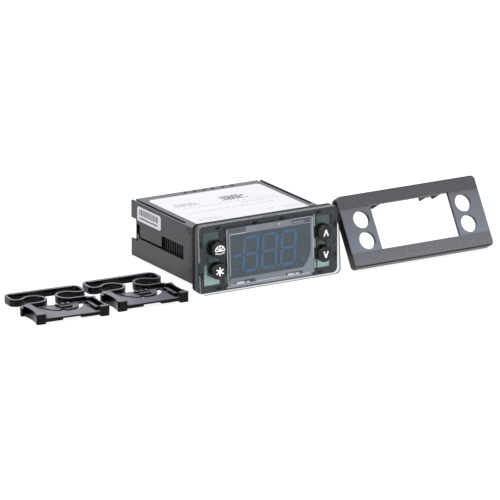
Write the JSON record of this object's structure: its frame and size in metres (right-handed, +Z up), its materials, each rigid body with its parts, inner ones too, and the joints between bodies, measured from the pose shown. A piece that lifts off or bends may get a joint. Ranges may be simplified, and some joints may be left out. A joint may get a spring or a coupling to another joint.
{
  "type": "refrigeration temperature controller",
  "caption": "Panel-mounted refrigeration temperature controller with digital display and push buttons, shown with its bezel and sprung mounting clips taken off.",
  "frame": {"origin": "middle of the front frame's bottom edge, on the floor the controller rests on", "axes": "+X to the right seen from the front, +Y from the front to the rear, +Z up"},
  "size_m": [0.242, 0.0722, 0.0321],
  "materials": {
    "case_plastic": "moulded grey, satin",
    "frame_plastic": "moulded dark grey, satin",
    "gasket_rubber": "black, matt",
    "clear_plastic": "clear, polished",
    "surround_plastic": "translucent pale, glossy",
    "display_face": "dark tinted resin, glossy",
    "segment_resin": "unlit blue resin",
    "circuit_board": "pale green solder mask",
    "key_plastic": "black, satin",
    "switch_plastic": "black, satin",
    "label_film": "white printed film",
    "bezel_plastic": "textured dark grey",
    "clip_plastic": "black, glossy",
    "cover_plastic": "moulded grey, satin",
    "power_board": "green solder mask",
    "relay_plastic": "black, satin",
    "core_steel": "varnished laminations",
    "capacitor_sleeve": "dark sleeve",
    "chip_resin": "black resin",
    "buzzer_plastic": "black",
    "header_plastic": "natural nylon",
    "terminal_plastic": "green, satin",
    "screw_steel": "plated"
  },
  "bodies": {
    "controller": {"casing": "case_plastic", "front_frame": "frame_plastic", "panel_gasket": "gasket_rubber", "clear_front": "clear_plastic", "display_surround": "surround_plastic", "display_block": "display_face", "display_segments": "segment_resin", "display_board": "circuit_board", "key_switches": "switch_plastic", "top_label": "label_film", "side_label": "label_film", "bezel": "bezel_plastic", "mounting_clip_left": "clip_plastic", "mounting_clip_right": "clip_plastic", "rear_cover": "cover_plastic", "main_board": "power_board", "relays": "relay_plastic", "transformer": "core_steel", "smoothing_capacitor": "capacitor_sleeve", "controller_chip": "chip_resin", "buzzer": "buzzer_plastic", "board_header": "header_plastic", "power_terminals": "terminal_plastic", "sensor_terminals": "terminal_plastic", "terminal_screws": "screw_steel"},
    "button_defrost": {"button_defrost": "key_plastic"},
    "button_set": {"button_set": "key_plastic"},
    "button_up": {"button_up": "key_plastic"},
    "button_down": {"button_down": "key_plastic"}
  },
  "joints": [
    {"name": "button_defrost_press", "type": "slide", "parent": "controller", "child": "button_defrost", "axis": [0, 1, 0], "range_m": [0, 0.0004], "stiffness_N_per_m": 600},
    {"name": "button_set_press", "type": "slide", "parent": "controller", "child": "button_set", "axis": [0, 1, 0], "range_m": [0, 0.0004], "stiffness_N_per_m": 600},
    {"name": "button_up_press", "type": "slide", "parent": "controller", "child": "button_up", "axis": [0, 1, 0], "range_m": [0, 0.0004], "stiffness_N_per_m": 600},
    {"name": "button_down_press", "type": "slide", "parent": "controller", "child": "button_down", "axis": [0, 1, 0], "range_m": [0, 0.0004], "stiffness_N_per_m": 600}
  ]
}
